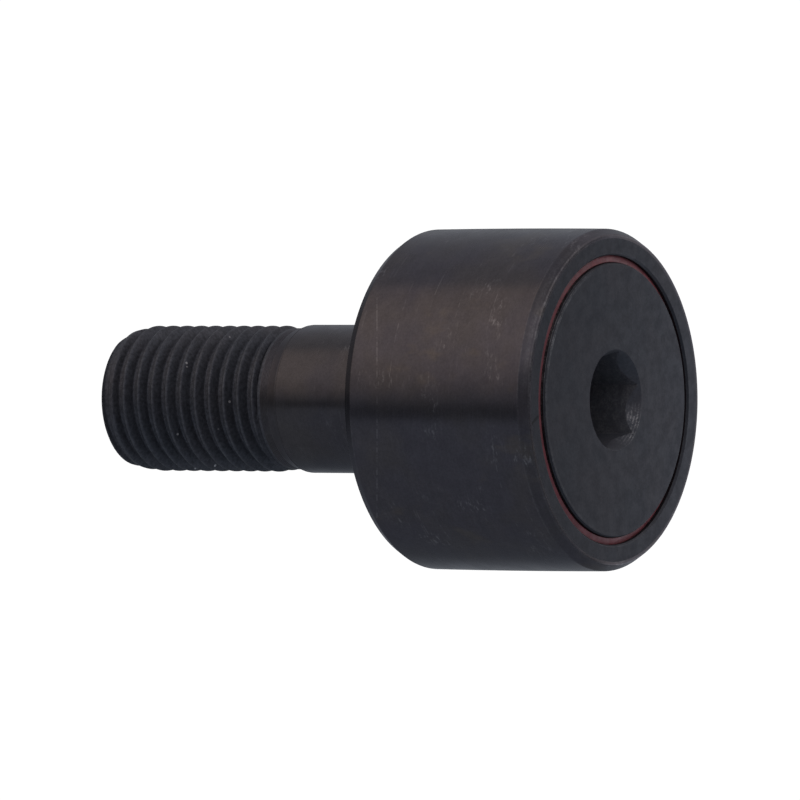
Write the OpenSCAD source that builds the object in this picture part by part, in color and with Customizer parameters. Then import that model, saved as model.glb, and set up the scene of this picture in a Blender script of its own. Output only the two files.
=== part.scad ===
// Stud-type needle-roller cam follower. A crowned outer ring turns on a full ring of needles
// round a stud, which has a hex-socket flange at one end and a fine thread at the other.
// Millimetres. The origin is where the stud's axis crosses the mounting face of the end plate;
// +Y runs along the stud to its threaded end, and +Z is up.

/* [Outer ring] */
// Outside diameter at the middle of the crown
ring_d = 25.4; // [25:0.1:30]
// Width of the ring
ring_w = 15.875; // [14:0.125:18]
// How far the outside falls from the middle of the crown to each edge
crown_drop = 0.05; // [0.02:0.01:0.2]
// Radial size of the chamfer on each outside edge
edge_radial = 0.44; // [0.2:0.01:0.8]
// Axial size of the chamfer on each outside edge
edge_axial = 0.72; // [0.3:0.01:1.2]
// Radius of the recess at each end, which takes a seal and the flange or the end plate
recess_r = 10.7; // [10.6:0.05:11]
// Edge break at the mouth of each recess
recess_break = 0.18; // [0.05:0.01:0.3]
// Straight segments that make up the crown
crown_steps = 12; // [4:2:24]

/* [Stud] */
// Radius of the plain shank that fits the machine's hole
shank_r = 5.55625; // [5.4:0.01:5.7]
// Length from the mounting face to the threaded end
stud_l = 25.4; // [24:0.1:32]
// Length of the full-size shank, from the mounting face
shank_l = 9.6; // [8:0.1:10]
// Radius of the neck between shank and thread
neck_r = 5.3; // [5.2:0.01:5.4]
// Length of the chamfer from shank to neck
neck_chamfer = 0.73; // [0.4:0.01:1]
// Length of the neck
neck_l = 0.94; // [0.8:0.01:1.5]
// Radius of the flange and of the end plate
flange_r = 10.15; // [9.9:0.05:10.2]
// Thickness of the flange
flange_t = 2.2; // [1.8:0.1:2.6]
// How far the flange stands out of the ring
flange_proud = 0.1; // [0.05:0.01:0.3]
// Edge break round the flange
flange_break = 0.28; // [0.1:0.01:0.4]
// Radius of the inner raceway
journal_r = 6.82; // [6.8:0.01:6.82]
// Radius of the seat that the end plate is pressed on
seat_r = 6; // [5.9:0.05:6.2]

/* [Thread] */
// Pitch of the thread
pitch = 1.27; // [1:0.01:1.5]
// Radius at the thread's crests
crest_r = 5.49; // [5.4:0.01:5.55]
// Where a crest stands along the stud, at the side that +X points to
crest_at = 0.852; // [0:0.01:1.27]
// Radius where the thread's lead-in taper meets the stud's end
tip_r = 5.05; // [4.9:0.01:5.2]
// Length of the lead-in taper, which ends at full crests
tip_taper = 2; // [1:0.1:2.5]
// Edge break at the stud's end
tip_break = 0.15; // [0.05:0.05:0.3]
// Straight segments in one turn of the thread
turn_steps = 24; // [16:2:32]

/* [Hex socket] */
// Distance across the flats
hex_af = 6.35; // [6:0.05:6.5]
// Depth of the hex
hex_depth = 5; // [4:0.1:5.4]
// Radius of the countersink at its rim
sink_r = 3.75; // [3.7:0.01:4]
// Angle of the hex about the stud, so that its corners face as on the real piece
hex_turn = -18; // [-30:1:30]
// Radius of the hole drilled below the hex
pilot_r = 3; // [2.6:0.1:3.1]
// Depth of that hole below the hex
pilot_depth = 0.4; // [0.2:0.1:0.6]

/* [Oil passages] */
// Radius of the passage along the stud
passage_r = 1.6; // [1.2:0.1:1.8]
// Radius of the cross hole that leads oil to the needles
feed_r = 1; // [0.8:0.1:1.2]
// Distance of that cross hole inside the mounting face
feed_at = 6.4; // [5.5:0.1:6.6]
// Radius of the oil hole in the shank
oil_r = 1.19; // [1:0.01:1.3]
// Distance of the oil hole from the mounting face
oil_at = 6.35; // [5:0.05:7]
// Radius of the wider bore that holds the plug
plug_bore_r = 2.38; // [2.2:0.01:2.6]
// Depth of that bore
plug_bore_l = 5; // [4:0.1:6]
// Length of the plug
plug_l = 4; // [3:0.1:4.5]
// Edge break round each end of the plug
plug_break = 0.3; // [0.1:0.05:0.5]

/* [End plate] */
// How far the end plate stands out of the ring, towards the machine
overhang = 0.79; // [0.7:0.01:1]
// Edge break round the mounting face
plate_break = 0.4; // [0.1:0.05:0.6]
// Interference of each pressed piece, on the radius
squeeze = 0.01; // [0.005:0.001:0.02]

/* [Needles and seals] */
// Radius of a needle
needle_r = 1.25; // [1.2:0.01:1.25]
// Radius of the circle that the needles' axes lie on
needle_ring_r = 8.1; // [8.1:0.01:8.11]
// Running clearance between needles and raceways
needle_gap = 0.03; // [0.02:0.005:0.05]
// Number of needles round the stud
needle_count = 20; // [20:1:20]
// Edge break at each end of a needle
needle_break = 0.2; // [0.1:0.05:0.4]
// Free length at each end of the needles
needle_play = 0.09; // [0.05:0.01:0.2]
// Thickness of the seal's flat web
web_t = 0.6; // [0.4:0.05:0.8]
// Gap between the web and the flange or the end plate
web_gap = 0.1; // [0.05:0.01:0.2]
// Radius of the hole in the web
web_bore_r = 7; // [6.95:0.05:7.2]
// Radial gap between the seal's lip and the flange or the end plate
lip_gap = 0.05; // [0.03:0.01:0.2]
// How far the lip's inner edge lies below the flange's face or the ring's back face
lip_depth = 0.3; // [0.2:0.05:0.5]
// How much deeper the lip lies at its outer edge
lip_fall = 0.3; // [0:0.05:0.5]

/* [Hidden] */
$fn = 96;

cut = 1;                                            // how far a cutter runs past what it cuts
ring_r = ring_d / 2;
raceway_r = needle_ring_r + needle_r + needle_gap;  // radius of the raceway inside the ring
ring_back = -overhang;                              // positions along the stud, from here on
ring_front = ring_back - ring_w;
face = ring_front - flange_proud;
flange_back = face + flange_t;
plate_front = ring_back - (flange_t - flange_proud);
front_web = flange_back + web_gap;
rear_web = plate_front - web_gap;
front_shoulder = front_web + web_t;
rear_shoulder = rear_web - web_t;
needle_front = front_shoulder + needle_play;
needle_back = rear_shoulder - needle_play;
neck_start = shank_l + neck_chamfer;
neck_end = neck_start + neck_l;

crest_flat = pitch / 8;
root_flat = pitch / 4;
flank_l = (pitch - crest_flat - root_flat) / 2;
root_r = crest_r - flank_l / tan(30);
tip_slope = tip_taper / (crest_r - tip_r);          // axial length of the lead-in taper per unit of radius
blank_r = crest_r + 0.5;                            // clear of the crests all round
run_in = 0.42;                                      // how far the thread reaches into the neck
run_in_r = root_r - 0.2;
drill_tip = 1 / tan(59);                            // depth of a drill's cone per unit of radius

// Corners of the thread form in one pitch: distance from the crest's middle, and radius
form = [[-crest_flat / 2, crest_r], [crest_flat / 2, crest_r],
  [crest_flat / 2 + flank_l, root_r], [crest_flat / 2 + flank_l + root_flat, root_r]];
form_n = len(form);
turns = ceil((stud_l - neck_end + run_in) / pitch) + 3;
rows = form_n * turns + 1;
first_crest = crest_at + pitch * (floor((neck_end - run_in - crest_at) / pitch) - 1);

// One point of the thread's surface: row along the stud, step round the turn
function thread_point(row, i) =
  let (k = floor(row / form_n), corner = form[row % form_n], a = 360 * i / turn_steps)
  [corner[1] * cos(a), corner[1] * sin(a), first_crest + corner[0] + pitch * (k + i / turn_steps)];

// Index of a point. A row that runs out of its turn goes on in the same row of the next turn.
function at(row, i) = i < turn_steps ? row * turn_steps + i : (row + form_n) * turn_steps;

// Height of the crown's outside at a distance from the ring's middle
function crown_r(t) = ring_r - crown_drop * pow(2 * t / ring_w, 2);

// Lays a piece that was drawn along Z down along the stud's axis
module along_stud() rotate([-90, 0, 0]) children();

// A solid of revolution from its half profile
module turned(profile) rotate_extrude() polygon(profile);

// A cylinder between two stations along the axis
module rod(from, to, r1, r2) translate([0, 0, from]) cylinder(h = to - from, r1 = r1, r2 = r2);

// The helical ridge and its core, longer than the finished thread at both ends
module thread_blank() {
  low = rows * turn_steps;
  last = rows - form_n - 2;
  polyhedron(
    points = [
      for (row = [0 : rows - 1]) for (i = [0 : turn_steps - 1]) thread_point(row, i),
      [0, 0, first_crest - pitch],
      [0, 0, first_crest + pitch * (turns + 1)]
    ],
    faces = [
      for (row = [0 : last]) for (i = [0 : turn_steps - 1])
        for (side = [0, 1])
          side == 0 ? [at(row, i), at(row + 1, i), at(row, i + 1)]
            : [at(row, i + 1), at(row + 1, i), at(row + 1, i + 1)],
      for (i = [0 : turn_steps - 1]) [low, at(0, i), at(0, i + 1)],
      for (row = [0 : form_n - 1]) [low, at(row + 1, 0), at(row, 0)],
      for (i = [0 : turn_steps - 1]) [low + 1, at(last + 1, i + 1), at(last + 1, i)],
      for (row = [last + 1 : last + form_n]) [low + 1, at(row, 0), at(row + 1, 0)]
    ],
    convexity = 10);
}

// What the thread is turned down to: a run-in cone inside the neck and a tapered tip
module thread_envelope() turned([
  [0, neck_end - run_in],
  [run_in_r, neck_end - run_in],
  [blank_r, neck_end + run_in],
  [blank_r, stud_l - tip_slope * (blank_r - tip_r)],
  [tip_r + tip_break / tip_slope, stud_l - tip_break],
  [tip_r - tip_break, stud_l],
  [0, stud_l]]);

module thread() intersection() {
  thread_blank();
  thread_envelope();
}

module stud_body() turned([
  [0, face],
  [flange_r - flange_break, face],
  [flange_r, face + flange_break],
  [flange_r, flange_back],
  [journal_r, flange_back],
  [journal_r, plate_front],
  [seat_r, plate_front],
  [seat_r, 0],
  [shank_r, 0],
  [shank_r, shank_l],
  [neck_r, neck_start],
  [neck_r, neck_end],
  [0, neck_end]]);

module hex_socket() {
  hex_r = hex_af / 2 / cos(30);
  sink_l = (sink_r - hex_af / 2) / tan(30);
  hex_end = face + hex_depth;
  rotate([0, 0, hex_turn]) translate([0, 0, face - cut])
    cylinder(h = hex_depth + cut, r = hex_r, $fn = 6);
  rod(face, face + sink_l, sink_r, hex_af / 2);
  rod(face - cut, face, sink_r, sink_r);
  rod(face + sink_l, hex_end + pilot_depth, pilot_r, pilot_r);
  rod(hex_end + pilot_depth, hex_end + pilot_depth + pilot_r * drill_tip, pilot_r, 0);
}

module oil_passages() {
  rod(-feed_at - passage_r, stud_l + cut, passage_r, passage_r);
  rod(-feed_at - passage_r * (1 + drill_tip), -feed_at - passage_r, 0, passage_r);
  rod(stud_l - plug_bore_l, stud_l + cut, plug_bore_r, plug_bore_r);
  translate([0, 0, -feed_at]) rotate([90, 0, 0]) cylinder(h = journal_r + cut, r = feed_r);
  translate([0, 0, oil_at]) rotate([0, 90, 0]) cylinder(h = shank_r + cut, r = oil_r);
}

module stud() color("dimgray") along_stud() difference() {
  union() {
    stud_body();
    thread();
  }
  hex_socket();
  oil_passages();
}

module end_plate() color("dimgray") along_stud() turned([
  [seat_r - squeeze, plate_front],
  [flange_r, plate_front],
  [flange_r, -plate_break],
  [flange_r - plate_break, 0],
  [seat_r - squeeze, 0]]);

module outer_ring() color("dimgray") along_stud() turned([
  [recess_r + recess_break, ring_front],
  [crown_r(ring_w / 2) - edge_radial, ring_front],
  for (i = [0 : crown_steps])
    let (t = (i / crown_steps - 0.5) * (ring_w - 2 * edge_axial))
      [crown_r(t), (ring_front + ring_back) / 2 + t],
  [crown_r(ring_w / 2) - edge_radial, ring_back],
  [recess_r + recess_break, ring_back],
  [recess_r, ring_back - recess_break],
  [recess_r, rear_shoulder],
  [raceway_r, rear_shoulder],
  [raceway_r, front_shoulder],
  [recess_r, front_shoulder],
  [recess_r, ring_front + recess_break]]);

module front_seal() color("firebrick") along_stud() turned([
  [web_bore_r, front_web],
  [flange_r + lip_gap, front_web],
  [flange_r + lip_gap, face + lip_depth],
  [recess_r + squeeze, face + lip_depth + lip_fall],
  [recess_r + squeeze, front_shoulder],
  [web_bore_r, front_shoulder]]);

module rear_seal() color("firebrick") along_stud() turned([
  [web_bore_r, rear_web],
  [flange_r + lip_gap, rear_web],
  [flange_r + lip_gap, ring_back - lip_depth],
  [recess_r + squeeze, ring_back - lip_depth - lip_fall],
  [recess_r + squeeze, rear_shoulder],
  [web_bore_r, rear_shoulder]]);

module oil_plug() color("silver") along_stud() {
  plug_r = plug_bore_r + squeeze;
  plug_start = stud_l - plug_bore_l;
  turned([
    [0, plug_start],
    [plug_r - plug_break, plug_start],
    [plug_r, plug_start + plug_break],
    [plug_r, plug_start + plug_l - plug_break],
    [plug_r - plug_break, plug_start + plug_l],
    [0, plug_start + plug_l]]);
}

module needle(number) color("gainsboro") along_stud()
  rotate([0, 0, 360 * (number - 1) / needle_count]) translate([needle_ring_r, 0, 0]) turned([
    [0, needle_front],
    [needle_r - needle_break, needle_front],
    [needle_r, needle_front + needle_break],
    [needle_r, needle_back - needle_break],
    [needle_r - needle_break, needle_back],
    [0, needle_back]]);

stud();
end_plate();
outer_ring();
front_seal();
rear_seal();
oil_plug();
needle(1);  // needle_01
needle(2);  // needle_02
needle(3);  // needle_03
needle(4);  // needle_04
needle(5);  // needle_05
needle(6);  // needle_06
needle(7);  // needle_07
needle(8);  // needle_08
needle(9);  // needle_09
needle(10);  // needle_10
needle(11);  // needle_11
needle(12);  // needle_12
needle(13);  // needle_13
needle(14);  // needle_14
needle(15);  // needle_15
needle(16);  // needle_16
needle(17);  // needle_17
needle(18);  // needle_18
needle(19);  // needle_19
needle(20);  // needle_20
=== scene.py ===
"""Detailed look of a stud-type needle-roller cam follower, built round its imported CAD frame.

The stud's axis is +Y, from the hex-socket flange to the threaded end, and +Z is up. Lengths
are in millimetres inside the mesh builders, and in metres in the materials and the scene.
"""

import math

import bmesh
import bpy
import numpy as np
from mathutils import Matrix, Vector


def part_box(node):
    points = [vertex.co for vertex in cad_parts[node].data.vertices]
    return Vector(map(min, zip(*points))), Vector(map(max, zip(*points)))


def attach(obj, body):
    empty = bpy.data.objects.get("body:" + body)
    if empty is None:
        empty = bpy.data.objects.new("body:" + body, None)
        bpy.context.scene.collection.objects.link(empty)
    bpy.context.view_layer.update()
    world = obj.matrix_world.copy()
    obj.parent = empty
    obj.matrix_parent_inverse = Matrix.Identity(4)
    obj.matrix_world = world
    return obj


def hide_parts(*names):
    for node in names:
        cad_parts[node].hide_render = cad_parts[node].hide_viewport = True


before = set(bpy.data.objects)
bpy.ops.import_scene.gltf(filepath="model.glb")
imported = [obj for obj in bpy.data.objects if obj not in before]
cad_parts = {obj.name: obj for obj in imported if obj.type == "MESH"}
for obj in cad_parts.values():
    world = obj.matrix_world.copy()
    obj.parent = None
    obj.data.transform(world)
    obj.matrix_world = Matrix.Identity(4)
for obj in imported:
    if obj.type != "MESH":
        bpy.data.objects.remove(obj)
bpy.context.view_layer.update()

MM = 0.001
COLUMNS = 360  # one column of vertices for each degree round the axis
TURN = np.radians(np.arange(COLUMNS) * 360.0 / COLUMNS)  # 0 is +X, and 90 degrees is -Z

# ---------------------------------------------------------------- sizes that the CAD states

stud_low, stud_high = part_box("stud")
ring_low, ring_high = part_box("outer_ring")
plate_low, plate_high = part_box("end_plate")
seal_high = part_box("front_seal")[1]
plug_low, plug_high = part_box("oil_plug")

FACE, STUD_END = stud_low.y / MM, stud_high.y / MM
FLANGE_R = stud_high.x / MM
RING_FRONT, RING_BACK = ring_low.y / MM, ring_high.y / MM
RING_R = ring_high.x / MM
PLATE_FRONT, PLATE_BACK = plate_low.y / MM, plate_high.y / MM
PLATE_R = plate_high.x / MM
SEAL_R = seal_high.x / MM
PLUG_FRONT, PLUG_BACK = plug_low.y / MM, plug_high.y / MM
PLUG_R = plug_high.x / MM

# flange and hex socket
FLANGE_BACK = FACE + 2.2
HEX_AF = 6.35
HEX_TURN = math.radians(-18)
HEX_END = FACE + 5.0
SINK_R = 3.75
SINK_SLOPE = math.tan(math.radians(30))
SINK_ROWS = 40
HEX_WEAR = 0.13
CHATTER_RATE = 0.8  # radians of a tool mark's cycle in each row of the countersink
PILOT_R = 3.0
PILOT_END = HEX_END + 0.4
DRILL_POINT = 1 / math.tan(math.radians(59))  # depth over radius

# raceway, end plate's seat and shank
JOURNAL_R = 6.82
SEAT_R = 6.0
SHANK_R = 5.55625
SHANK_END = 9.6

# oil hole and passages
OIL_AT = 6.35
OIL_R = 1.19
OIL_HALF = 2.0  # half the length of the patch that the hole is cut into
OIL_COLUMNS = 20  # half its width, in columns
FEED_AT = -6.4
PASSAGE_R = 1.6
PLUG_BORE_R = 2.38
PLUG_BORE_START = STUD_END - 5.0

# neck, thread and tip
NECK_START = 10.33
NECK_END = 11.27
NECK_R = 5.3
NECK_STEP = 0.03
NECK_CUT = (0.0, 0.02, 0.028, 0.012)  # depths that repeat along the neck
NECK_WEAR = (0.08, 0, 0, 0.02)
PITCH = 1.27
FLANK_SLOPE = math.tan(math.radians(30))
CREST_R = 5.49
CREST_AT = 0.852
CREST_ROUND = 0.10
CREST_BAND = 0.06  # depth of the rubbed part of a crest
CREST_WEAR = 0.035
RUN_IN_START = NECK_END - 0.42  # the thread's ridge rises out of the neck from here
RUN_IN_DEPTH = 0.9
RUN_IN_SLOPE = 1.3
ROOT_FALL = 1.7  # how steeply the neck falls to the thread's root
THREAD_STEP = 0.042
JOIN_ROUND = 0.05
TIP_R = 5.05
TIP_TAPER = 2.0
TIP_BREAK = 0.15
BREAK_SLOPE = 1.2

# ring and seals
RACEWAY_R = 9.38
RECESS_R = 10.7
CROWN_DROP = 0.05
EDGE_RADIAL = 0.44
EDGE_AXIAL = 0.72
SHOULDER = 0.7  # from the flange's back or the plate's front to the ring's shoulder
WEB_GAP = 0.1
WEB_R = 7.0
LIP_GAP = 0.015
LIP_DEPTH = 0.3
LIP_FALL = 0.2

# needles
NEEDLE_COLUMNS = 40
NEEDLE_FLAT = 0.55  # share of the radius that is flat at each end
NEEDLE_DOME = ((0.2, 0.02), (0.08, 0.06), (0.02, 0.13), (0.0, 0.24))  # in radius, and along

SHARP_EDGE = math.radians(38)


def window(middle, fade, reach):
    """Weights round the axis: 1 near the middle, 0 from reach times fade degrees away."""
    return np.clip(reach - np.abs(TURN - math.radians(middle)) / math.radians(fade), 0, 1)


# painted light on edges: all of the near side is lightened, where the flange's chamfer lies in
# shade, and a painted highlight is added, most of all above its middle
NEAR_SIDE_PAINTED_LIGHT = window(160, 45, 1.5)
UPPER_LEFT_PAINTED_HIGHLIGHT = window(214, 27, 1.5)
# where a tool chattered in the countersink, low on the side away from the ring's nick
CHATTERED = window(36, 20, 1.7)

# ---------------------------------------------------------------- turned shapes


def rounded(corners, closed=False, steps=4):
    """Points (r, y, wear) of a profile whose corners (r, y, fillet, wear) are rounded.

    That value, edge bareness and painted light together, is full in the middle of a fillet and
    has gone a little way outside it.
    """
    points = []
    count = len(corners)
    for i, (r, y, fillet, wear_and_painted_light) in enumerate(corners):
        here = np.array([r, y], float)
        inner = closed or 0 < i < count - 1
        if not inner or fillet <= 0:
            points.append((r, y, wear_and_painted_light))
            continue
        before = np.array(corners[i - 1][:2], float) - here
        after = np.array(corners[(i + 1) % count][:2], float) - here
        len_before, len_after = np.linalg.norm(before), np.linalg.norm(after)
        u, v = before / len_before, after / len_after
        half = math.acos(max(-1.0, min(1.0, float(u @ v)))) / 2
        back = min(fillet / math.tan(half), 0.45 * len_before, 0.45 * len_after)
        radius = back * math.tan(half)
        middle = here + (u + v) / np.linalg.norm(u + v) * radius / math.sin(half)
        start, end = here + u * back, here + v * back
        fade = min(0.3 * back, 0.04)
        a0 = math.atan2(*(start - middle)[::-1])
        a1 = math.atan2(*(end - middle)[::-1])
        sweep = (a1 - a0 + math.pi) % (2 * math.pi) - math.pi
        points.append((*(start + u * fade), 0.0))
        for k in range(steps + 1):
            a = a0 + sweep * k / steps
            weight = wear_and_painted_light * math.sin(math.pi * (k + 0.5) / (steps + 1))
            points.append(
                (middle[0] + radius * math.cos(a), middle[1] + radius * math.sin(a), weight)
            )
        points.append((*(end + v * fade), 0.0))
    return points


def by_column(value, kind=float):
    """One value for each column, from a single value or an array."""
    return np.broadcast_to(np.asarray(value, kind), (COLUMNS,))


class Turned:
    """Rows of vertices round the Y axis, each with its own height, radius, and share of edge
    bareness and painted light.
    """

    def __init__(self):
        self.rows = []

    def row(self, y, r, wear_and_painted_light=0.0, band=0):
        """Adds one row. Band is the material of the strip after it; all but y may be arrays."""
        self.rows.append((float(y), by_column(r), by_column(wear_and_painted_light), by_column(band, int)))

    def profile(self, corners, band=0, closed=False, steps=4):
        """Adds a row for each point of a rounded profile."""
        for r, y, wear_and_painted_light in rounded(corners, closed, steps):
            self.row(y, r, wear_and_painted_light, band)

    def build(self, name, materials, closed=False, poles=(None, None), skip=None, extra=None):
        """The mesh object.

        closed joins the last row to the first, and poles are the heights of the end points on
        the axis, if any. skip(row, column) tells which faces are left out, and
        extra(bm, grid, wear_and_painted_light_layer) adds what replaces them.
        """
        bm = bmesh.new()
        wear_and_painted_light_layer = bm.verts.layers.float.new("wear_and_painted_light")
        grid = []
        for y, r, wear_and_painted_light, _ in self.rows:
            line = []
            for c in range(COLUMNS):
                v = bm.verts.new((r[c] * math.cos(TURN[c]), y, -r[c] * math.sin(TURN[c])))
                v[wear_and_painted_light_layer] = wear_and_painted_light[c]
                line.append(v)
            grid.append(line)

        def add_face(corners, row, column):
            f = bm.faces.new(corners)
            f.material_index = int(self.rows[row][3][column])
            f.smooth = True

        count = len(grid)
        for i in range(count if closed else count - 1):
            j = (i + 1) % count
            for c in range(COLUMNS):
                if skip and skip(i, c):
                    continue
                d = (c + 1) % COLUMNS
                add_face((grid[i][c], grid[i][d], grid[j][d], grid[j][c]), i, c)
        for pole, i in zip(poles, (0, count - 1)):
            if pole is None:
                continue
            tip = bm.verts.new((0, pole, 0))
            for c in range(COLUMNS):
                add_face((grid[i][c], grid[i][(c + 1) % COLUMNS], tip), i, c)
        if extra:
            extra(bm, grid, wear_and_painted_light_layer)
        bmesh.ops.recalc_face_normals(bm, faces=bm.faces)
        return finished(bm, name, materials)


def add_object(name, data):
    """A new object in the scene."""
    thing = bpy.data.objects.new(name, data)
    bpy.context.scene.collection.objects.link(thing)
    return thing


def finished(bm, name, materials):
    """Scales a mesh from millimetres, splits its shading at hard edges, and adds it."""
    mesh = bpy.data.meshes.new(name)
    bmesh.ops.scale(bm, vec=(MM, MM, MM), verts=bm.verts)
    bm.to_mesh(mesh)
    bm.free()
    for material in materials:
        mesh.materials.append(material)
    mesh.set_sharp_from_angle(angle=SHARP_EDGE)
    return add_object(name, mesh)


# ---------------------------------------------------------------- material nodes


class Nodes:
    """Lays down the shader nodes of one tree, and feeds them with links or values."""

    def __init__(self, tree):
        self.tree = tree

    def feed(self, value, socket):
        """Links an output to a socket, or sets the socket to a plain value."""
        if isinstance(value, bpy.types.NodeSocket):
            self.tree.links.new(value, socket)
        else:
            socket.default_value = value

    def new(self, kind, **inputs):
        """A new node. The name of each input is written with _ for a space."""
        n = self.tree.nodes.new("ShaderNode" + kind)
        for name, value in inputs.items():
            self.feed(value, n.inputs[name.replace("_", " ")])
        return n

    def split(self, vector):
        """The x, y and z of a vector."""
        n = self.new("SeparateXYZ", Vector=vector)
        return n.outputs["X"], n.outputs["Y"], n.outputs["Z"]

    def ramp(self, value, low, high, out_low=0.0, out_high=1.0, smooth=True):
        """A value taken from low..high to out_low..out_high, and held beyond."""
        n = self.new("MapRange", Value=value, From_Min=low, From_Max=high, To_Min=out_low,
                     To_Max=out_high)
        n.interpolation_type = "SMOOTHSTEP" if smooth else "LINEAR"
        return n.outputs["Result"]

    def vary(self, noise, low, high):
        """Noise taken to low..high. Nearly all noise lies from 0.3 to 0.7."""
        return self.ramp(noise, 0.3, 0.7, low, high)

    def math(self, kind, a, b=None):
        n = self.new("Math")
        n.operation = kind
        self.feed(a, n.inputs[0])
        if b is not None:
            self.feed(b, n.inputs[1])
        return n.outputs["Value"]

    def plus(self, value, *others):
        """The sum of some values."""
        for other in others:
            value = self.math("ADD", value, other)
        return value

    def times(self, value, *others):
        """The product of some values."""
        for other in others:
            value = self.math("MULTIPLY", value, other)
        return value

    def mix(self, factor, a, b):
        """Mixes two colours, each an output or (r, g, b)."""
        n = self.new("Mix", Factor=factor)
        n.data_type = "RGBA"
        # numbers and vectors have inputs with the same names, so the type picks the colours
        sockets = [s for s in n.inputs if s.type == "RGBA"]
        for colour, socket in zip((a, b), sockets):
            self.feed((*colour, 1) if isinstance(colour, tuple) else colour, socket)
        return [s for s in n.outputs if s.type == "RGBA"][0]


class Surface(Nodes):
    """The nodes of one material, in the coordinates of its piece."""

    def __init__(self, name):
        self.material = bpy.data.materials.new(name)
        self.material.use_nodes = True
        super().__init__(self.material.node_tree)
        self.bsdf = self.tree.nodes["Principled BSDF"]
        self.coord = self.new("TexCoord").outputs["Object"]

    def cells(self, scale, offset):
        """Coordinates in cells. scale is cells per metre, in all or for each direction."""
        scale = scale if isinstance(scale, tuple) else (scale, scale, scale)
        n = self.new("Mapping", Vector=self.coord, Scale=scale, Location=offset)
        return n.outputs["Vector"]

    def noise(self, scale, detail, rough, offset=(0, 0, 0)):
        """Soft noise with some cells per metre."""
        n = self.new("TexNoise", Vector=self.cells(scale, offset), Scale=1.0, Detail=detail,
                     Roughness=rough)
        return n.outputs["Fac"]

    def spots(self, scale, offset):
        """How far the nearest of some scattered points is, in cells."""
        n = self.new("TexVoronoi", Vector=self.cells(scale, offset), Scale=1.0)
        return n.outputs["Distance"]

    def axis_rings(self, scale, detail):
        """Noise over the distance from the axis: rings as a lathe tool leaves them."""
        x, _, z = self.split(self.coord)
        n = self.new("TexNoise", Scale=scale, Detail=detail)
        n.noise_dimensions = "1D"
        self.feed(self.math("SQRT", self.plus(self.times(x, x), self.times(z, z))), n.inputs["W"])
        return n.outputs["Fac"]

    def edge_bareness_and_painted_light(self, scale, least):
        """The edge bareness and painted light that the mesh holds, broken up down to a least
        share of it.
        """
        n = self.new("Attribute")
        n.attribute_name = "wear_and_painted_light"
        broken = self.ramp(self.noise(scale, 4.0, 0.65, (2.5, 4.5, 8.5)), 0.34, 0.66, least, 1.0)
        specks = self.noise(6500.0, 2.0, 0.6, (0.4, 2.2, 6.1))
        return self.times(n.outputs["Fac"], broken, self.ramp(specks, 0.38, 0.62, 0.45, 1.35))

    def bump(self, height, strength, depth, before=None):
        """A normal with some relief, on top of the normal before it."""
        n = self.new("Bump", Height=height, Strength=strength, Distance=depth)
        if before is not None:
            self.feed(before, n.inputs["Normal"])
        return n.outputs["Normal"]

    def shade(self, colour, *factors):
        """A colour times each of some values."""
        for factor in factors:
            n = self.new("VectorMath")
            n.operation = "SCALE"
            self.feed(colour, n.inputs[0])
            self.feed(factor, n.inputs["Scale"])
            colour = n.outputs["Vector"]
        return colour

    def finish(self, colour, roughness, normal=None, metallic=1.0, anisotropic=0.0,
               edge=(1.0, 1.0, 1.0)):
        """Feeds the shader. edge is the tint of the gloss at a glancing angle."""
        sockets = self.bsdf.inputs
        self.feed(colour, sockets["Base Color"])
        self.feed(roughness, sockets["Roughness"])
        self.feed(metallic, sockets["Metallic"])
        self.feed((*edge, 1), sockets["Specular Tint"])
        if anisotropic:
            tangent = self.new("Tangent")
            tangent.direction_type = "RADIAL"
            tangent.axis = "Y"
            self.feed(anisotropic, sockets["Anisotropic"])
            self.feed(QUARTER_TURN, sockets["Anisotropic Rotation"])
            self.feed(tangent.outputs["Tangent"], sockets["Tangent"])
        if normal is not None:
            self.feed(normal, sockets["Normal"])
        return self.material


QUARTER_TURN = 0.25
FINE_RELIEF = 0.00002
GRAIN_RELIEF = 0.00003

# base colours, linear
# bare steel's colour, which the painted light and painted highlights on edges and walls use as
# well
BARE_AND_PAINTED_LIGHT = (0.40, 0.38, 0.385)
OXIDE = (0.0545, 0.0495, 0.0570)
OXIDE_GREY = (0.0495, 0.0480, 0.0560)
OXIDE_WARM = (0.0600, 0.0530, 0.0550)
OXIDE_TAN = (0.0800, 0.0670, 0.0580)
OXIDE_BLUE = (0.0440, 0.0450, 0.0540)
EDGE_TINT = (0.7, 0.7, 0.72)
THREAD_EDGE_TINT = (0.5, 0.5, 0.52)
NICK_DARK = (0.012, 0.011, 0.012)
STEEL = (0.56, 0.56, 0.57)
PLUG_STEEL = (0.46, 0.46, 0.44)
SEAL_DARK = (0.115, 0.020, 0.026)
SEAL_RED = (0.165, 0.032, 0.040)
SEAL_DUST = (0.060, 0.036, 0.038)


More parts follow.
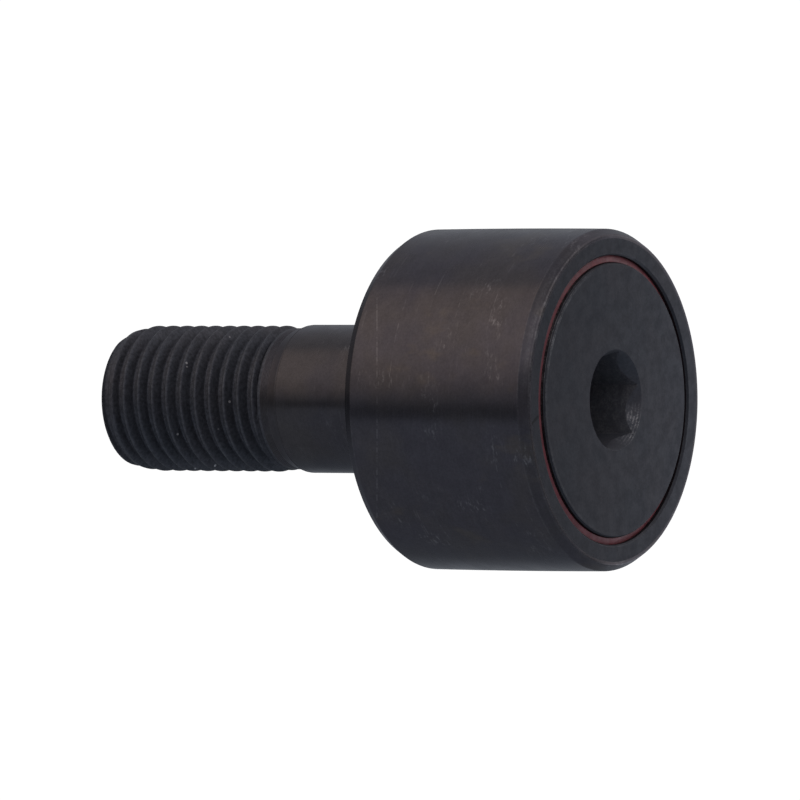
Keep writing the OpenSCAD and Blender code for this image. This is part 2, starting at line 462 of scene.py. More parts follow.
def ground_oxide(name, base_rough, scuff=1.0, offset=(0, 0, 0), tone=1.0, metallic=1.0,
                 line=False):
    """Ground, black-oxided steel: grinding lines round it, cloudy scuffs, and edge bareness with
    painted highlights from the mesh.
    """
    n = Surface(name)
    cast = n.ramp(n.noise(150.0, 3.0, 0.6, offset), 0.36, 0.66)
    tan = n.ramp(n.noise((150.0, 210.0, 420.0), 3.0, 0.6, (6.3, 2.1, 0.7)), 0.58, 0.72)
    colour = n.mix(cast, OXIDE, OXIDE_WARM)
    colour = n.mix(n.times(tan, 0.5 * scuff), colour, OXIDE_TAN)
    grain = n.vary(n.noise(5200.0, 2.0, 0.6, offset), 0.93, 1.07)
    blotch = n.vary(n.noise(900.0, 4.0, 0.6, (2.0, 9.1, 1.3)), 0.94, 1.06)
    grinding = n.noise((240.0, 9000.0, 240.0), 4.0, 0.7, offset)
    colour = n.shade(colour, grain, blotch, n.vary(grinding, 0.95 * tone, 1.05 * tone))

    patch = n.ramp(n.noise(260.0, 2.0, 0.5, (3.1, 1.7, 5.3)), 0.54, 0.70)
    cloud = n.ramp(n.noise((1500.0, 3800.0, 1500.0), 4.0, 0.7, offset), 0.52, 0.72)
    pale_share = n.times(patch, cloud, 0.25 * scuff)
    long_lines = n.ramp(n.noise((70.0, 5200.0, 70.0), 1.0, 0.5, (7.7, 2.2, 4.1)), 0.66, 0.76)
    broken = n.ramp(n.noise(1100.0, 2.0, 0.6, (1.2, 6.6, 3.4)), 0.46, 0.62)
    scratches = n.times(long_lines, broken, 0.10 * scuff)
    bare_and_painted_light = n.plus(pale_share, scratches, n.edge_bareness_and_painted_light(1700.0, 0.25))
    if line:
        bare_and_painted_light = n.plus(bare_and_painted_light, knock_line(n))
    colour = n.mix(n.math("MINIMUM", bare_and_painted_light, 0.9), colour, BARE_AND_PAINTED_LIGHT)

    dull = n.times(n.ramp(n.noise(420.0, 3.0, 0.6, offset), 0.35, 0.65), 0.05)
    rough = n.plus(n.vary(grinding, base_rough - 0.03, base_rough + 0.04), dull)
    lines = n.noise((90.0, 22000.0, 90.0), 3.0, 0.65, offset)
    normal = n.bump(lines, 0.06, FINE_RELIEF)
    normal = n.bump(n.noise(2600.0, 3.0, 0.6, offset), 0.02, FINE_RELIEF, normal)
    return n.finish(colour, rough, normal, metallic=metallic, anisotropic=0.85, edge=EDGE_TINT)


# the scratch on the tread lies in an upright plane: x and y times these, plus an offset, is 0
KNOCK_PLANE = (0.53, -0.85)
KNOCK_OFFSET = 0.0034
KNOCK_MIDDLE = -0.001  # its height
KNOCK_WIDTH = (0.00007, 0.00002)  # from its middle, where it ends and where it is full
KNOCK_REACH = (0.0098, 0.0080)
KNOCK_STRENGTH = 0.10


def knock_line(n):
    """A faint, broken scratch that runs straight across the near side of the tread."""
    x, y, z = n.split(n.coord)
    across = n.plus(n.times(x, KNOCK_PLANE[0]), n.times(y, KNOCK_PLANE[1]))
    off = n.math("ABSOLUTE", n.plus(across, KNOCK_OFFSET))
    dashes = n.ramp(n.noise((200.0, 200.0, 2600.0), 3.0, 0.7, (3.3, 8.1, 0.9)), 0.44, 0.60)
    ends = n.ramp(n.math("ABSOLUTE", n.plus(z, -KNOCK_MIDDLE)), *KNOCK_REACH)
    return n.times(n.ramp(off, *KNOCK_WIDTH), ends, dashes, KNOCK_STRENGTH)


def matte_oxide(name, base_rough, turned=False, lint=0.0, metallic=0.6, lift=1.0,
                chips=False, nick=False, edge=EDGE_TINT, mottle=0.14):
    """Black oxide on a turned or rolled face, duller than the ground surfaces."""
    n = Surface(name)
    tones = [tuple(lift * c for c in tone) for tone in (OXIDE_BLUE, OXIDE_GREY)]
    colour = n.mix(n.ramp(n.noise(260.0, 3.0, 0.6, (5, 3, 1)), 0.36, 0.66), *tones)
    grain = n.noise(4300.0, 3.0, 0.65)
    colour = n.shade(colour, n.vary(grain, 1 - mottle, 1 + mottle))
    bare_and_painted_light = n.edge_bareness_and_painted_light(1500.0, 0.2)
    if lint:
        speck = n.ramp(n.spots(560.0, (9, 9, 2)), 0.075, 0.045)
        bare_and_painted_light = n.math("MINIMUM", n.plus(bare_and_painted_light, n.times(speck, lint)), 0.95)
    if chips:
        chatter = n.noise((3800.0, 2600.0, 2600.0), 3.0, 0.7, (1, 8, 3))
        bare_and_painted_light = n.times(bare_and_painted_light, n.ramp(chatter, 0.36, 0.60))
    colour = n.mix(bare_and_painted_light, colour, BARE_AND_PAINTED_LIGHT)
    if nick:
        colour = n.mix(nick_mark(n), colour, NICK_DARK)
    rough = n.vary(n.noise(900.0, 3.0, 0.6), base_rough - 0.06, base_rough + 0.08)
    normal = n.bump(grain, 0.14, GRAIN_RELIEF)
    if turned:
        normal = n.bump(n.axis_rings(9000.0, 3.0), 0.10, FINE_RELIEF, normal)
    return n.finish(colour, rough, normal, metallic=metallic, edge=edge)


NICK_X, NICK_Z = -0.01148, -0.00147
NICK_HALF = 0.00068  # half its length
NICK_RISE = 0.00028  # over that half
NICK_BEND = 0.00007
NICK_WIDTH = (0.00019, 0.00006)  # from its middle, where it ends and where it is full
NICK_DEPTH = (-0.0100, -0.0120)  # along y, where it ends and where it is full
NICK_STRENGTH = 0.9


def nick_mark(n):
    """A short curved knock across the near side of the ring's face: 1 inside it, else 0."""
    x, y, z = n.split(n.coord)
    along = n.math("DIVIDE", n.plus(x, -NICK_X), NICK_HALF)
    bend = n.times(n.math("SINE", n.times(along, 2.6)), NICK_BEND)
    line = n.plus(n.times(along, NICK_RISE), NICK_Z)
    off = n.math("ABSOLUTE", n.math("SUBTRACT", n.math("SUBTRACT", z, line), bend))
    mark = n.ramp(off, *NICK_WIDTH)
    ends = n.ramp(n.math("ABSOLUTE", along), 1.1, 0.85)
    front = n.ramp(y, *NICK_DEPTH)
    return n.times(mark, ends, front, NICK_STRENGTH)


def bright_steel(name, base_rough, colour=STEEL):
    """Ground bare steel, in two close tones."""
    n = Surface(name)
    grinding = n.noise((300.0, 12000.0, 300.0), 3.0, 0.6)
    cast = n.ramp(n.noise(700.0, 3.0, 0.6), 0.35, 0.65)
    tint = n.mix(cast, colour, tuple(0.86 * c for c in colour))
    rough = n.vary(grinding, base_rough - 0.04, base_rough + 0.06)
    return n.finish(tint, rough, n.bump(grinding, 0.06, FINE_RELIEF))


def red_seal(name):
    """Moulded red seal with a film of grease and dust."""
    n = Surface(name)
    blotch = n.ramp(n.noise(900.0, 4.0, 0.65), 0.36, 0.64)
    dust = n.ramp(n.noise(3600.0, 3.0, 0.6, (4, 4, 4)), 0.54, 0.74, 0.0, 0.45)
    colour = n.mix(dust, n.mix(blotch, SEAL_DARK, SEAL_RED), SEAL_DUST)
    rough = n.vary(n.noise(1500.0, 3.0, 0.6), 0.45, 0.65)
    normal = n.bump(n.noise(5200.0, 3.0, 0.6), 0.18, GRAIN_RELIEF)
    return n.finish(colour, rough, normal, metallic=0.0)


tread_mat = ground_oxide("oxide_tread", 0.20, line=True)
shank_mat = ground_oxide("oxide_shank", 0.24, scuff=0.6, offset=(4.2, 0.6, 2.9), tone=0.84,
                         metallic=0.85)
neck_mat = ground_oxide("oxide_neck", 0.33, scuff=0.3, offset=(1.2, 3.6, 0.9), tone=0.84,
                        metallic=0.9)
face_mat = matte_oxide("oxide_face", 0.47, turned=True, metallic=0.8, lift=0.66, nick=True)
thread_mat = matte_oxide("oxide_thread", 0.48, lint=0.8, edge=THREAD_EDGE_TINT, mottle=0.30)
# painted light: the socket's oxide is made 1.3 times lighter, standing in for light deep in the
# socket and the bores
socket_painted_light_mat = matte_oxide("oxide_socket_painted_light", 0.55, metallic=0.2, lift=1.3)
sink_mat = matte_oxide("oxide_countersink", 0.5, metallic=0.5, lift=1.15, chips=True)
race_mat = bright_steel("ground_raceway", 0.22)
needle_mat = bright_steel("needle_steel", 0.18)
plug_mat = bright_steel("plug_steel", 0.36, PLUG_STEEL)
seal_mat = red_seal("seal_red")


# ---------------------------------------------------------------- the stud


def soft_min(a, b, k):
    """The lesser of two heights, with the corner between them rounded over k."""
    h = np.clip(0.5 + 0.5 * (b - a) / k, 0, 1)
    return b * (1 - h) + a * h - k * h * (1 - h)


def soft_max(a, b, k):
    return -soft_min(-a, -b, k)


def thread_radius(y):
    """Radius round the stud at one height: a 60-degree thread with rounded crest and root."""
    crest_flat = PITCH / 8
    root_r = CREST_R - (PITCH - crest_flat - PITCH / 4) / 2 / FLANK_SLOPE
    u = (y - CREST_AT - PITCH * TURN / (2 * math.pi)) / PITCH
    u = (u - np.round(u)) * PITCH
    flank = CREST_R - (np.abs(u) - crest_flat / 2) / FLANK_SLOPE
    return soft_max(soft_min(flank, CREST_R, CREST_ROUND), root_r, CREST_ROUND)


def hex_radius():
    """Radius of the hexagon in each column."""
    turn = (TURN - HEX_TURN) % math.radians(60) - math.radians(30)
    return HEX_AF / 2 / np.cos(turn)


# the stud's materials, in the order of its material slots
BAND_FACE, BAND_SOCKET, BAND_SHANK, BAND_THREAD, BAND_RACE, BAND_SINK, BAND_NECK = range(7)
STUD_MATERIALS = [face_mat, socket_painted_light_mat, shank_mat, thread_mat, race_mat, sink_mat, neck_mat]


def add_socket(t):
    """Drill point, hexagon and countersink, from the inside out to the face."""
    t.row(PILOT_END + PILOT_R * DRILL_POINT * 0.5, PILOT_R * 0.5, band=BAND_SOCKET)
    t.row(PILOT_END, PILOT_R, band=BAND_SOCKET)
    t.row(HEX_END, PILOT_R, band=BAND_SOCKET)
    hexed = hex_radius()
    # painted shade: the lower walls of the hexagon are left darker, without the bare colour of
    # the other walls, as they look up into the light
    painted_shade_walls = np.abs(TURN - math.radians(102)) < math.radians(58)
    wall_wear_and_painted_shade = np.where(painted_shade_walls, 0.0, HEX_WEAR)
    for y in (HEX_END, HEX_END - 0.2, FACE + 1.6):
        t.row(y, hexed, wall_wear_and_painted_shade, BAND_SOCKET)
    # the cone starts a little below the place where it meets the hexagon's flats
    reach = (SINK_R - HEX_AF / 2) / SINK_SLOPE * 1.05
    for k in range(SINK_ROWS + 1):
        depth = reach * (1 - k / SINK_ROWS)
        cone_r = SINK_R - depth * SINK_SLOPE
        conical = cone_r >= hexed
        streak = max(0.0, math.sin(CHATTER_RATE * k)) * (0.2 + 0.8 * k / SINK_ROWS)
        pale_amount = np.where(conical, (0.15 + 0.70 * streak) * CHATTERED, wall_wear_and_painted_shade)
        band = BAND_FACE if k == SINK_ROWS else BAND_SINK
        t.row(FACE + depth, np.maximum(hexed, cone_r), pale_amount,
              np.where(conical, band, BAND_SOCKET))
    t.row(FACE, SINK_R + 0.04, 0.16 * CHATTERED, BAND_FACE)
    t.row(FACE, SINK_R + 0.12, 0.0, BAND_FACE)


def add_flange(t):
    """The flange's face, its edge with painted light over slight bareness, its wall and its back.
    """
    # painted light: the edge is lightened all along the near side, where its chamfer lies in
    # shade, with a painted highlight on the upper left, over a little real bareness
    pale_share = 0.02 + 0.12 * NEAR_SIDE_PAINTED_LIGHT + 0.46 * UPPER_LEFT_PAINTED_HIGHLIGHT
    for r in np.linspace(4.4, FLANGE_R - 0.8, 9):
        t.row(FACE, r, 0.0, BAND_FACE)
    t.profile(
        [
            (FLANGE_R - 0.40, FACE, 0, 0.0),
            (FLANGE_R - 0.26, FACE, 0, 0.5 * pale_share),
            (FLANGE_R - 0.11, FACE, 0.05, pale_share),
            (FLANGE_R, FACE + 0.13, 0.05, pale_share),
            (FLANGE_R, FACE + 0.29, 0.0, 1.3 * pale_share),
            (FLANGE_R, FLANGE_BACK - 0.6, 0.0, 0.0),
        ],
        BAND_FACE,
    )
    t.profile(
        [
            (FLANGE_R, FLANGE_BACK - 0.5, 0.0, 0.0),
            (FLANGE_R, FLANGE_BACK, 0.08, 0.0),
            (JOURNAL_R, FLANGE_BACK, 0.1, 0.0),
        ],
        BAND_FACE,
    )


def add_raceway(t):
    """The needles' inner raceway and the seat that the end plate is pressed on."""
    t.profile(
        [
            (JOURNAL_R, FLANGE_BACK + 0.2, 0, 0.0),
            (JOURNAL_R, PLATE_FRONT, 0.05, 0.0),
            (SEAT_R, PLATE_FRONT, 0.05, 0.0),
            (SEAT_R, PLATE_BACK - 0.25, 0.0, 0.0),
        ],
        BAND_RACE,
    )


def add_shank(t):
    """The plain shank. Returns the first and last row of the patch for the oil hole."""
    t.profile(
        [
            (SEAT_R, PLATE_BACK - 0.2, 0, 0.0),
            (SEAT_R, PLATE_BACK, 0.04, 0.1),
            (SHANK_R, PLATE_BACK, 0.06, 0.0),
            (SHANK_R, OIL_AT - OIL_HALF - 0.4, 0.0, 0.0),
        ],
        BAND_SHANK,
    )
    first = len(t.rows)
    for y in np.linspace(OIL_AT - OIL_HALF, OIL_AT + OIL_HALF, 21):
        t.row(y, SHANK_R, 0.0, BAND_SHANK)
    last = len(t.rows) - 1
    t.profile(
        [
            (SHANK_R, OIL_AT + OIL_HALF + 0.3, 0, 0.0),
            (SHANK_R, SHANK_END - 0.12, 0.02, 0.0),
            (SHANK_R - 0.04, SHANK_END - 0.07, 0.02, 0.0),
        ],
        BAND_SHANK,
    )
    return first, last


def add_neck(t):
    """The relief between shank and thread, with the marks of its tool."""
    t.profile(
        [
            (SHANK_R - 0.04, SHANK_END - 0.02, 0.0, 0.0),
            (SHANK_R - 0.02, SHANK_END + 0.03, 0.03, 0.03),
            (NECK_R, NECK_START, 0.06, 0.0),
        ],
        BAND_NECK,
    )
    for i, y in enumerate(np.arange(NECK_START + 0.06, NECK_END - 0.28, NECK_STEP)):
        t.row(y, NECK_R - NECK_CUT[i % 4], NECK_WEAR[i % 4], BAND_NECK)


def add_thread(t):
    """Run-out, helical ridge and tip's taper, cut from one height field."""
    tip_slope = (CREST_R - TIP_R) / TIP_TAPER
    for y in np.arange(NECK_END - 0.24, STUD_END - 0.03, THREAD_STEP):
        run_in = CREST_R - RUN_IN_DEPTH + (y - RUN_IN_START) * RUN_IN_SLOPE
        left = STUD_END - y
        tip = min(TIP_R + left * tip_slope, TIP_R - TIP_BREAK + left * BREAK_SLOPE)
        neck = NECK_R - max(0.0, y - NECK_END) * ROOT_FALL
        r = soft_min(thread_radius(y), run_in, JOIN_ROUND)
        r = soft_max(soft_min(r, tip, JOIN_ROUND), neck, JOIN_ROUND)
        r = np.minimum(r, max(CREST_R, neck))
        pale_amount = np.clip((r - (CREST_R - CREST_BAND)) / CREST_BAND, 0, 1) * CREST_WEAR
        t.row(y, r, pale_amount, BAND_THREAD)


def add_tip(t):
    """The threaded end's face, the plug's bore and the oil passage, down to the drill point."""
    tip_r = np.minimum(thread_radius(STUD_END), TIP_R - TIP_BREAK)
    t.row(STUD_END, tip_r, 0.05, BAND_FACE)
    for r in (tip_r - 0.08, 4.5, 4.0, 3.4, 2.9):
        t.row(STUD_END, r, 0.0, BAND_FACE)
    t.profile(
        [
            (2.75, STUD_END, 0, 0.0),
            (PLUG_BORE_R + 0.12, STUD_END, 0.03, 0.3),
            (PLUG_BORE_R, STUD_END - 0.12, 0.03, 0.1),
            (PLUG_BORE_R, PLUG_BORE_START, 0.05, 0.0),
            (PASSAGE_R, PLUG_BORE_START, 0.05, 0.0),
            (PASSAGE_R, FEED_AT - PASSAGE_R, 0.0, 0.0),
        ],
        BAND_SOCKET,
    )
    t.row(FEED_AT - PASSAGE_R - 0.5 * PASSAGE_R * DRILL_POINT, PASSAGE_R * 0.5, 0.0, BAND_SOCKET)


def cut_oil_hole(bm, patch, wear_and_painted_light_layer):
    """Fills a square gap in the shank, of some grid rows, with a hole down to the passage."""
    cols = [c % COLUMNS for c in range(-OIL_COLUMNS, OIL_COLUMNS + 1)]
    square = [patch[0][c] for c in cols[:-1]]
    square += [line[cols[-1]] for line in patch[:-1]]
    square += [patch[-1][c] for c in cols[:0:-1]]
    square += [line[cols[0]] for line in patch[:0:-1]]
    # places on the shank are (across, along) from the hole's middle
    outline = [(-v.co.z, v.co.y - OIL_AT) for v in square]
    angles = [math.atan2(along, across) for across, along in outline]

    def circle(r):
        return [(r * math.cos(a), r * math.sin(a)) for a in angles]

    def loop(places, wear_and_painted_light, sunk=0.0, x=None):
        """A ring of vertices, sunk below the shank's surface or all at one x."""
        line = []
        for across, along in places:
            at = math.sqrt(SHANK_R**2 - across * across) - sunk if x is None else x
            v = bm.verts.new((at, OIL_AT + along, -across))
            v[wear_and_painted_light_layer] = wear_and_painted_light
            line.append(v)
        return line

    rim = circle(OIL_R + 0.14)
    loops = [square]
    for share in (0.35, 0.62, 0.82, 0.95, 1.0):
        places = [(a + (c - a) * share, b + (d - b) * share)
                  for (a, b), (c, d) in zip(outline, rim)]
        loops.append(loop(places, 0.3 if share == 1.0 else 0.0))
    loops.append(loop(circle(OIL_R + 0.04), 0.3, sunk=0.06))
    shank_strips = len(loops) - 1
    wall = circle(OIL_R)
    loops.append(loop(wall, 0.1, sunk=0.16))
    loops.append(loop(wall, 0.0, sunk=0.4))
    loops.append(loop(wall, 0.0, x=PASSAGE_R + 0.2))
    count = len(square)
    for k, (outer, inner) in enumerate(zip(loops, loops[1:])):
        for i in range(count):
            j = (i + 1) % count
            f = bm.faces.new((outer[i], outer[j], inner[j], inner[i]))
            f.material_index = BAND_SHANK if k < shank_strips else BAND_SOCKET
            f.smooth = True
    f = bm.faces.new(loops[-1])
    f.material_index = BAND_SOCKET


def build_stud():
    t = Turned()
    add_socket(t)
    add_flange(t)
    add_raceway(t)
    first, last = add_shank(t)
    add_neck(t)
    add_thread(t)
    add_tip(t)

    def in_patch(row, column):
        signed = (column + COLUMNS // 2) % COLUMNS - COLUMNS // 2
        return first <= row < last and -OIL_COLUMNS <= signed < OIL_COLUMNS

    def oil_hole(bm, grid, wear_and_painted_light_layer):
        cut_oil_hole(bm, grid[first : last + 1], wear_and_painted_light_layer)

    return t.build(
        "stud_shape",
        STUD_MATERIALS,
        poles=(PILOT_END + PILOT_R * DRILL_POINT, FEED_AT - PASSAGE_R * (1 + DRILL_POINT)),
        skip=in_patch,
        extra=oil_hole,
    )


# ---------------------------------------------------------------- ring, plate, seals, plug

# the ring's materials, in the order of its material slots
RING_FACE, RING_TREAD, RING_RACE = range(3)
RING_MATERIALS = [face_mat, tread_mat, race_mat]


def crown_r(y):
    """The tread's radius at one height."""
    middle = (RING_FRONT + RING_BACK) / 2
    return RING_R - CROWN_DROP * (2 * (y - middle) / (RING_BACK - RING_FRONT)) ** 2


def build_ring():
    t = Turned()
    front_shoulder, rear_shoulder = FLANGE_BACK + SHOULDER, PLATE_FRONT - SHOULDER
    tread_front, tread_back = RING_FRONT + EDGE_AXIAL, RING_BACK - EDGE_AXIAL
    edge = crown_r(RING_FRONT) - EDGE_RADIAL
    # painted light: the front recess wall is lightened, where the flange and the seal leave it in
    # shade; its edge has a little real bareness
    t.profile(
        [
            (RECESS_R, RING_FRONT + 0.6, 0, 0.08),
            (RECESS_R, RING_FRONT + 0.15, 0.05, 0.12),
            (RECESS_R + 0.15, RING_FRONT, 0.05, 0.05),
            ((RECESS_R + edge) / 2, RING_FRONT, 0, 0.0),
            (edge - 0.3, RING_FRONT, 0, 0.0),
        ],
        RING_FACE,
    )
    t.profile(
        # painted highlight: the front chamfer's edges are lightened most on the upper left, over
        # a little real bareness
        [
            (edge - 0.26, RING_FRONT, 0, 0.0),
            (edge, RING_FRONT, 0.26, 0.05 + 0.12 * UPPER_LEFT_PAINTED_HIGHLIGHT),
            (edge + 0.3 * EDGE_RADIAL, RING_FRONT + 0.3 * EDGE_AXIAL, 0.0, 0.10 * UPPER_LEFT_PAINTED_HIGHLIGHT),
            (crown_r(tread_front), tread_front, 0.25, 0.06),
            (crown_r(tread_front + 0.3), tread_front + 0.3, 0, 0.0),
        ],
        RING_TREAD,
    )
    for y in np.linspace(tread_front + 0.5, tread_back - 0.5, 24):
        t.row(y, crown_r(y), 0.0, RING_TREAD)
    t.profile(
        [
            (crown_r(tread_back - 0.2), tread_back - 0.2, 0, 0.0),
            (crown_r(tread_back), tread_back, 0.25, 0.05),
            (edge, RING_BACK, 0.22, 0.14),
            (edge - 0.26, RING_BACK, 0, 0.0),
        ],
        RING_TREAD,
    )
    t.profile(
        [
            (edge - 0.3, RING_BACK, 0, 0.0),
            ((RECESS_R + edge) / 2, RING_BACK, 0, 0.0),
            (RECESS_R + 0.18, RING_BACK, 0.05, 0.12),
            (RECESS_R, RING_BACK - 0.18, 0.05, 0.02),
            (RECESS_R, rear_shoulder, 0.06, 0.0),
            (RACEWAY_R, rear_shoulder, 0.08, 0.0),
        ],
        RING_FACE,
    )
    t.profile(
        [
            (RACEWAY_R, rear_shoulder - 0.2, 0, 0.0),
            (RACEWAY_R, front_shoulder, 0.08, 0.0),
            (RECESS_R, front_shoulder, 0.06, 0.0),
        ],
        RING_RACE,
    )
    return t.build("ring_shape", RING_MATERIALS, closed=True)


def build_plate():
    t = Turned()
    t.profile(
        [
            (SEAT_R, PLATE_FRONT, 0.08, 0.0),
            (PLATE_R, PLATE_FRONT, 0.1, 0.0),
            (PLATE_R, PLATE_BACK - 0.4, 0.12, 0.12),
            (PLATE_R - 0.4, PLATE_BACK, 0.12, 0.12),
            (8.6, PLATE_BACK, 0, 0.0),
            (7.4, PLATE_BACK, 0, 0.0),
            (SEAT_R, PLATE_BACK, 0.1, 0.1),
        ],
        closed=True,
    )
    return t.build("plate_shape", [face_mat], closed=True)


def build_seal(name, web, shoulder, lip_end):
    """A seal: a web beside the ring's shoulder, and a lip along the flange or the plate."""
    t = Turned()
    t.profile(
        [
            (WEB_R, web, 0.1, 0.0),
            (FLANGE_R + LIP_GAP, web, 0.06, 0.0),
            (FLANGE_R + LIP_GAP, lip_end, 0.06, 0.0),
            (SEAL_R, lip_end + math.copysign(LIP_FALL, web - lip_end), 0.06, 0.0),
            (SEAL_R, shoulder, 0.1, 0.0),
            (WEB_R, shoulder, 0.1, 0.0),
        ],
        closed=True,
        steps=5,
    )
    return t.build(name, [seal_mat], closed=True)


def build_plug():
    """A pressed oil plug with a shallow dimple in its outer end."""
    t = Turned()
    t.profile(
        [
            (PLUG_R * 0.4, PLUG_FRONT, 0, 0.0),
            (PLUG_R - 0.3, PLUG_FRONT, 0.08, 0.0),
            (PLUG_R, PLUG_FRONT + 0.3, 0.1, 0.0),
            (PLUG_R, PLUG_BACK - 0.3, 0.1, 0.2),
            (PLUG_R - 0.3, PLUG_BACK, 0.08, 0.4),
            (1.2, PLUG_BACK, 0.05, 0.3),
            (0.9, PLUG_BACK - 0.35, 0.08, 0.0),
            (0.35, PLUG_BACK - 0.45, 0.0, 0.0),
        ]
    )
    return t.build("plug_shape", [plug_mat], poles=(PLUG_FRONT, PLUG_BACK - 0.45))


def build_needle(node):
    """A needle with domed ends, on the axis that its CAD node gives."""
    low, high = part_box(node)
    middle = (low + high) / 2
    r = (high.x - low.x) / 2 / MM
    low_y, high_y = low.y / MM, high.y / MM
    start = [(NEEDLE_FLAT * r, low_y)]
    start += [(r - drop, low_y + along) for drop, along in NEEDLE_DOME]
    end = [(radius, low_y + high_y - y) for radius, y in reversed(start)]
    bm = bmesh.new()
    wear_and_painted_light_layer = bm.verts.layers.float.new("wear_and_painted_light")
    lines = []
    for radius, y in [*start, (r, (low_y + high_y) / 2), *end]:
        line = []
        for c in range(NEEDLE_COLUMNS):
            a = 2 * math.pi * c / NEEDLE_COLUMNS
            v = bm.verts.new((middle.x / MM + radius * math.cos(a), y,
                              middle.z / MM - radius * math.sin(a)))
            v[wear_and_painted_light_layer] = 0.0
            line.append(v)
        lines.append(line)
    for a, b in zip(lines, lines[1:]):
        for c in range(NEEDLE_COLUMNS):
            d = (c + 1) % NEEDLE_COLUMNS
            bm.faces.new((a[c], a[d], b[d], b[c])).smooth = True
    for line in (lines[0], lines[-1]):
        bm.faces.new(line)
    bmesh.ops.recalc_face_normals(bm, faces=bm.faces)
    return finished(bm, node + "_shape", [needle_mat])


def place(piece, body, node):
    """Puts a piece on its body, in place of its CAD node."""
    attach(piece, body)
    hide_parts(node)


place(build_stud(), "stud", "stud")
place(build_plate(), "stud", "end_plate")
place(build_plug(), "stud", "oil_plug")
place(build_ring(), "ring", "outer_ring")
front_seal = build_seal(
    "front_seal_shape", FLANGE_BACK + WEB_GAP, FLANGE_BACK + SHOULDER, FACE + LIP_DEPTH
)
place(front_seal, "ring", "front_seal")
rear_seal = build_seal(
    "rear_seal_shape", PLATE_FRONT - WEB_GAP, PLATE_FRONT - SHOULDER, RING_BACK - LIP_DEPTH
)
place(rear_seal, "ring", "rear_seal")
for node in sorted(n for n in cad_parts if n.startswith("needle_")):
    place(build_needle(node), "needles", node)


# ---------------------------------------------------------------- floor, light and camera

FLOOR_R = 0.42
FLOOR_AT = -0.075
FLOOR_GREYS = ((0.80, 0.80, 0.80), (0.85, 0.85, 0.85))
FLOOR_GLOW = 0.25


def build_floor():
    """A pale disc well below the part, which its stud holds up in use."""
    bm = bmesh.new()
    rings = [
        [bm.verts.new((FLOOR_R * s * math.cos(a), FLOOR_R * s * math.sin(a), FLOOR_AT))
         for a in np.radians(np.arange(0, 360, 3))]
        for s in (0.02, 0.25, 0.5, 0.75, 1.0)
    ]
    for a, b in zip(rings, rings[1:]):
        for i in range(len(a)):
            j = (i + 1) % len(a)
            bm.faces.new((a[i], a[j], b[j], b[i]))
    bm.faces.new(rings[0])
    bmesh.ops.recalc_face_normals(bm, faces=bm.faces)
    mesh = bpy.data.meshes.new("floor")
    bm.to_mesh(mesh)
    bm.free()
    n = Surface("floor_pale")
    mottle = n.vary(n.noise(14.0, 4.0, 0.5), 0.0, 1.0)
    mesh.materials.append(n.finish(n.mix(mottle, *FLOOR_GREYS), 0.8, metallic=0.0))
    n.feed((1, 1, 1, 1), n.bsdf.inputs["Emission Color"])
    n.feed(FLOOR_GLOW, n.bsdf.inputs["Emission Strength"])
    floor = add_object("floor", mesh)
    floor.visible_glossy = False
    floor.visible_diffuse = False


FILL_TINT = (0.93, 0.98, 1.06)
KEY_TINT = (1.09, 1.0, 0.95)
SEEN_WHITE = 1.05

# Light from round the part, in stops of (place, radiance, warmth). A warmth of 1 has the key's
# tint, 0 the fill's, and less than 0 is cooler still.
# Beyond the threaded end, the place is the angle round the stud's axis in degrees: 0 is level
# on the near side, and 90 is up.
BEHIND_LIGHT = (
    (-180, 0.30, 0), (-150, 0.38, -0.2), (-132, 0.32, -0.4), (-115, 0.42, -0.4),
    (-89, 0.47, -0.4), (-68, 0.50, -0.4), (-33, 0.54, -0.4), (-15, 0.54, -0.4),
    (-11, 0.24, -0.3), (-5, 0.26, -0.2), (-1, 0.46, 0), (8, 0.68, 0.7), (20, 0.95, 1),
    (36, 1.14, 1), (52, 1.15, 1), (80, 1.04, 1), (84, 0.70, 0.2), (120, 0.72, 0.1),
    (138, 0.64, 0), (160, 0.44, 0), (172, 0.24, 0), (180, 0.22, 0),
)
# In front of the flange, the place is the height of the direction.
BEFORE_LIGHT = (
    (-1, 0.44, -0.5), (-0.35, 0.44, -0.5), (-0.12, 0.36, 0), (0.0, 0.32, 0), (0.2, 0.45, 0.1),
    (0.42, 0.90, 0.4), (0.75, 0.95, 0.4), (0.9, 0.62, 0.2), (1, 0.55, 0),
)
# along y, where the light in front gives way to the light beyond
SIDES_MEET = (-0.15, 0.30)
# straight beyond the threaded end the light dims, along y, except from below some height
DEEP, DEEP_SHARE = (0.62, 0.98), 0.35
LOW, LOW_SHARE = (-0.02, -0.30), 0.3


def graded(n, value, stops):
    """The colour of light at a value, from stops of (place, radiance, warmth)."""
    low, high = stops[0][0], stops[-1][0]
    grade = n.new("ValToRGB", Fac=n.ramp(value, low, high, smooth=False))
    elements = grade.color_ramp.elements
    while len(elements) < len(stops):
        elements.new(0.5)
    for element, (at, radiance, warmth) in zip(elements, stops):
        element.position = (at - low) / (high - low)
        tint = [fill + (key - fill) * warmth for fill, key in zip(FILL_TINT, KEY_TINT)]
        element.color = (*(radiance * share for share in tint), 1)
    return grade.outputs["Color"]


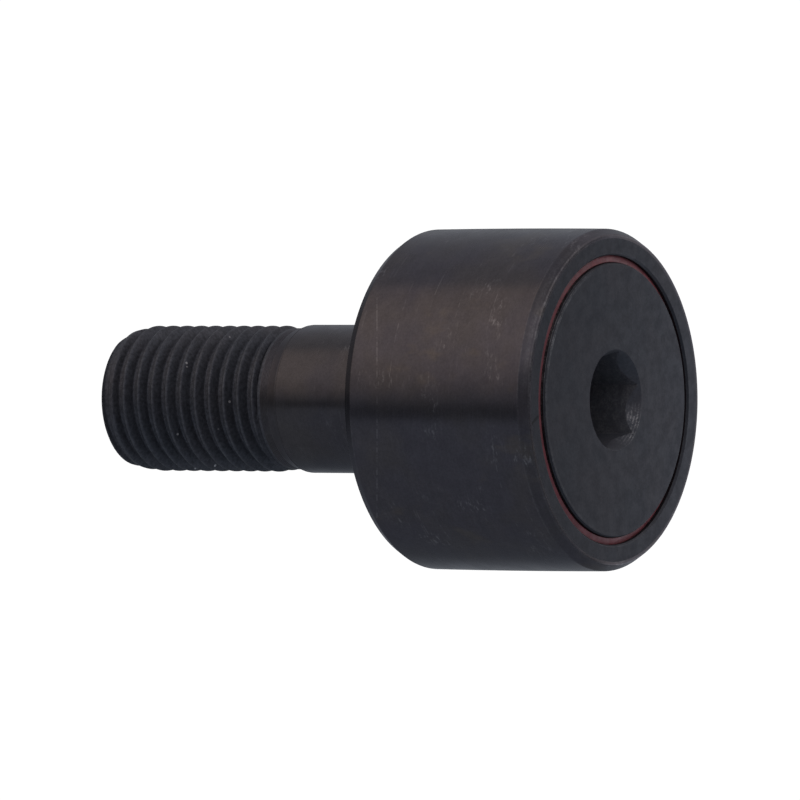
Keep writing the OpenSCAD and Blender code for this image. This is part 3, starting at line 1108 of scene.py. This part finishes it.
def build_world():
    """Studio surround: white to the eye; its light is a large soft key to the upper left.

    Beyond the threaded end the light is graded by its angle round the stud's axis, with a
    sharp-edged key over a dark horizon; in front of the flange it is graded by height.
    """
    world = bpy.data.worlds.new("studio")
    bpy.context.scene.world = world
    world.use_nodes = True
    n = Nodes(world.node_tree)
    n.tree.nodes.clear()
    x, y, z = n.split(n.new("TexCoord").outputs["Generated"])
    round_axis = n.math("DEGREES", n.math("ARCTAN2", z, n.times(x, -1.0)))
    behind = graded(n, round_axis, BEHIND_LIGHT)
    before = graded(n, z, BEFORE_LIGHT)
    colour = n.mix(n.ramp(y, *SIDES_MEET), before, behind)
    strength = n.math(
        "MAXIMUM", n.ramp(y, *DEEP, 1.0, DEEP_SHARE), n.ramp(z, *LOW, LOW_SHARE, 1.0)
    )
    light = n.new("Background", Color=colour, Strength=strength)
    seen = n.new("Background", Color=(1, 1, 1, 1), Strength=SEEN_WHITE)
    mixer = n.new("MixShader", Fac=n.new("LightPath").outputs["Is Camera Ray"])
    n.feed(light.outputs["Background"], mixer.inputs[1])
    n.feed(seen.outputs["Background"], mixer.inputs[2])
    n.new("OutputWorld", Surface=mixer.outputs["Shader"])


def softbox(name, direction, distance, width, height, radiance, colour):
    """A rectangular soft light that looks at the ring's front face."""
    data = bpy.data.lights.new(name, "AREA")
    data.shape = "RECTANGLE"
    data.size, data.size_y = width, height
    data.energy = radiance * math.pi * width * height
    data.color = colour
    lamp = add_object(name, data)
    towards = Vector(direction).normalized()
    lamp.location = Vector((0, RING_FRONT * MM, 0)) + towards * distance
    lamp.rotation_euler = towards.to_track_quat("Z", "Y").to_euler()
    lamp.visible_camera = False


CAMERA_AZIMUTH = math.radians(-58.2)
CAMERA_ELEVATION = math.radians(0.38)
SENSOR_WIDTH = 36.0
LENS = 520.8
# the camera's place, from the middle of the ring's front face
CAMERA_LEFT = 0.015834
CAMERA_UP = 0.000002
CAMERA_BACK = 0.85435


def build_camera():
    """Long lens, near the horizon, from the flange's left."""
    level = math.cos(CAMERA_ELEVATION)
    back = Vector((math.sin(CAMERA_AZIMUTH) * level, -math.cos(CAMERA_AZIMUTH) * level,
                   math.sin(CAMERA_ELEVATION)))
    right = Vector((math.cos(CAMERA_AZIMUTH), math.sin(CAMERA_AZIMUTH), 0))
    up = back.cross(right)
    data = bpy.data.cameras.new("camera")
    data.sensor_width = SENSOR_WIDTH
    data.lens = LENS
    data.clip_start, data.clip_end = 0.01, 50.0
    camera = add_object("camera", data)
    face = Vector((0, RING_FRONT * MM, 0))
    spot = face - right * CAMERA_LEFT + up * CAMERA_UP + back * CAMERA_BACK
    turn = Matrix((right, up, back)).transposed()
    camera.matrix_world = Matrix.Translation(spot) @ turn.to_4x4()
    bpy.context.scene.camera = camera


build_floor()
build_world()
softbox("panel", direction=(0.97, -0.24, -0.06), distance=0.030, width=0.02, height=0.05,
        radiance=0.88, colour=(0.96, 0.99, 1.05))
build_camera()
bpy.context.scene.view_settings.view_transform = "Standard"
bpy.context.scene.view_settings.look = "None"
